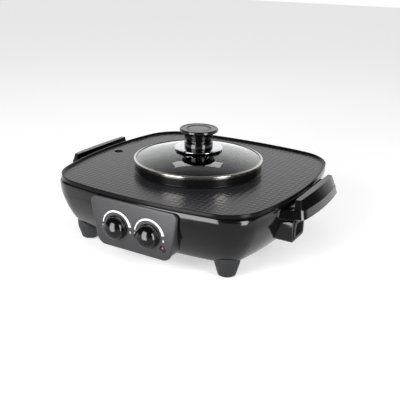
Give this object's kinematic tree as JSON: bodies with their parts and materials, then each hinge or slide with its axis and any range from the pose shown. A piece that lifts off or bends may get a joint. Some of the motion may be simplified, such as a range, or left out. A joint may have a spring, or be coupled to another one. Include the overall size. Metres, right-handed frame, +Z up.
{
  "type": "electric hot pot grill",
  "caption": "Electric tabletop cooker: a rounded square grill plate round a pot well with a domed glass lid, in a shell on feet, with side handles, a front panel with dials and a side inlet.",
  "frame": {"origin": "on the table, below the middle of the box round the whole object", "axes": "+X runs from the left handle to the right handle, -Y towards the front panel and its dials, +Z up"},
  "size_m": [0.445, 0.3862, 0.1729],
  "materials": {
    "coated_aluminium": "cast, with a satin grey non-stick coating in a fine crossed texture",
    "gloss_black_plastic": "moulded, high gloss",
    "matte_black_plastic": "moulded, fine matt grain",
    "panel_metal": "satin grey paint",
    "phenolic": "compression moulded, polished",
    "polished_steel": "pressed and polished",
    "stainless_steel": "drawn, satin",
    "aluminised_steel": "pressed, dull bright",
    "nickel_plated_brass": "nickel plated",
    "tempered_glass": "clear, polished",
    "rubber": "moulded, matt",
    "white_plastic": "moulded, matt",
    "red_lens": "clear red, polished",
    "wire_sleeve": "smooth sleeve"
  },
  "bodies": {
    "base": {"base_cover": "matte_black_plastic", "body_shell": "gloss_black_plastic", "control_housing": "gloss_black_plastic", "control_panel": "panel_metal", "drain_spout": "aluminised_steel", "foot_left_front": "gloss_black_plastic", "foot_left_rear": "gloss_black_plastic", "foot_right_front": "gloss_black_plastic", "foot_right_rear": "gloss_black_plastic", "foot_pad_left_front": "rubber", "foot_pad_left_rear": "rubber", "foot_pad_right_front": "rubber", "foot_pad_right_rear": "rubber", "grill_element": "stainless_steel", "grill_plate": "coated_aluminium", "handle_left": "phenolic", "handle_right": "phenolic", "handle_screw_left_front": "stainless_steel", "handle_screw_left_rear": "stainless_steel", "handle_screw_right_front": "stainless_steel", "handle_screw_right_rear": "stainless_steel", "heat_reflector": "aluminised_steel", "housing_screw_left": "stainless_steel", "housing_screw_right": "stainless_steel", "inlet_housing": "gloss_black_plastic", "inlet_pin_earth": "nickel_plated_brass", "inlet_pin_line": "nickel_plated_brass", "inlet_pin_neutral": "nickel_plated_brass", "inlet_socket": "matte_black_plastic", "oil_cup_sleeve": "matte_black_plastic", "pilot_lamp": "white_plastic", "pilot_lens": "red_lens", "pot_clamp_screw": "stainless_steel", "pot_element": "stainless_steel", "pot_element_clamp": "aluminised_steel", "terminal_block": "white_plastic", "thermostat_grill": "white_plastic", "thermostat_pot": "white_plastic", "tie_screw_left_front": "stainless_steel", "tie_screw_left_rear": "stainless_steel", "tie_screw_right_front": "stainless_steel", "tie_screw_right_rear": "stainless_steel", "wire_earth": "wire_sleeve", "wire_line": "wire_sleeve", "wire_neutral": "wire_sleeve"},
    "lid": {"lid_glass": "tempered_glass", "lid_knob": "phenolic", "lid_knob_disc": "polished_steel", "lid_knob_inlay": "matte_black_plastic", "lid_rim": "polished_steel", "lid_screw": "stainless_steel", "lid_vent_grommet": "stainless_steel", "lid_washer": "rubber"},
    "dial_pot": {"knob_pot": "gloss_black_plastic", "shaft_pot": "stainless_steel"},
    "dial_grill": {"knob_grill": "gloss_black_plastic", "shaft_grill": "stainless_steel"},
    "cup": {"oil_cup": "matte_black_plastic"}
  },
  "joints": [
    {"name": "lid_lift", "type": "slide", "parent": "base", "child": "lid", "axis": [0, 0, 1], "range_m": [0, 0.15]},
    {"name": "dial_pot_turn", "type": "hinge", "parent": "base", "child": "dial_pot", "pos_m": [-0.0285, -0.17585, 0.0592], "axis": [0, 1, 0], "range_deg": [0, 180]},
    {"name": "dial_grill_turn", "type": "hinge", "parent": "base", "child": "dial_grill", "pos_m": [0.0285, -0.17585, 0.0592], "axis": [0, 1, 0], "range_deg": [0, 180]},
    {"name": "oil_cup_pull", "type": "slide", "parent": "base", "child": "cup", "axis": [-1, 0, 0], "range_m": [0, 0.12]}
  ]
}
